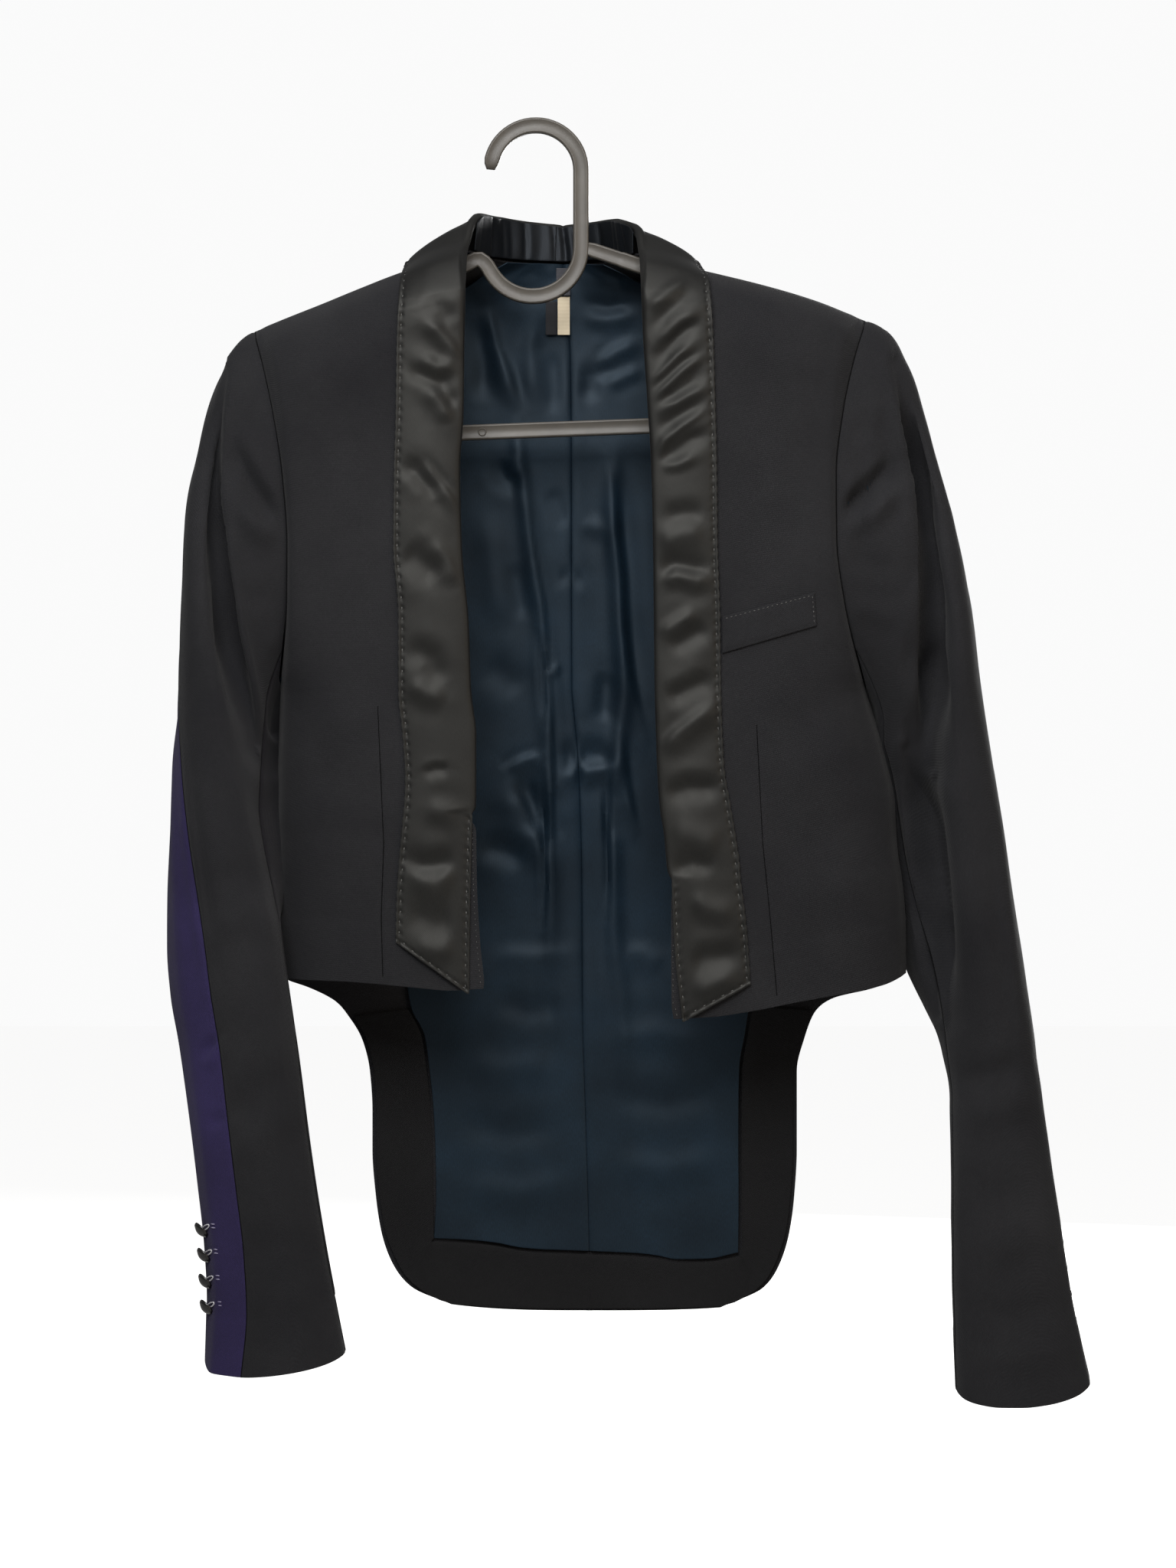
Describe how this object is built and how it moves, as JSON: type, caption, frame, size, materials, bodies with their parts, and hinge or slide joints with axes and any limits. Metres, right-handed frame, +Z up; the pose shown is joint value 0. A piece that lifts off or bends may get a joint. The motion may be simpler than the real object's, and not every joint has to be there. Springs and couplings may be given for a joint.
{
  "type": "tailcoat on a hanger",
  "caption": "Short open-front tailcoat in black wool with a satin shawl collar, long sleeves and a square-cornered back tail, hanging on a moulded plastic hanger with a crossbar.",
  "frame": {"origin": "the inner top of the hanger's hook, where it rests on a rail", "axes": "x runs along the hanger toward the wearer's left, the front faces -y, and z is up"},
  "size_m": [0.5502, 0.1191, 0.7699],
  "materials": {
    "wool": "fine matt worsted",
    "violet_wool": "fine matt worsted with a violet cast",
    "satin": "soft satin sheen",
    "lining_satin": "navy satin sheen",
    "black_tape": "woven tape, blank",
    "cream_tape": "woven tape, blank",
    "button_horn": "polished",
    "hanger_plastic": "moulded, half matt"
  },
  "bodies": {
    "root": {"back_right": "wool", "back_left": "wool", "front_right": "wool", "front_left": "wool", "topsleeve_right": "wool", "topsleeve_left": "wool", "undersleeve_right": "violet_wool", "undersleeve_left": "wool", "chest_welt": "wool", "tail_facing_right": "wool", "tail_facing_left": "wool", "shawl_right": "satin", "shawl_left": "satin", "collar_stand": "satin", "lining_right": "lining_satin", "lining_left": "lining_satin", "neck_label": "black_tape", "care_tab": "black_tape", "size_tab": "cream_tape", "button_right_1": "button_horn", "button_right_2": "button_horn", "button_right_3": "button_horn", "button_right_4": "button_horn", "button_left_1": "button_horn", "button_left_2": "button_horn", "button_left_3": "button_horn", "button_left_4": "button_horn", "hanger": "hanger_plastic"}
  },
  "joints": []
}
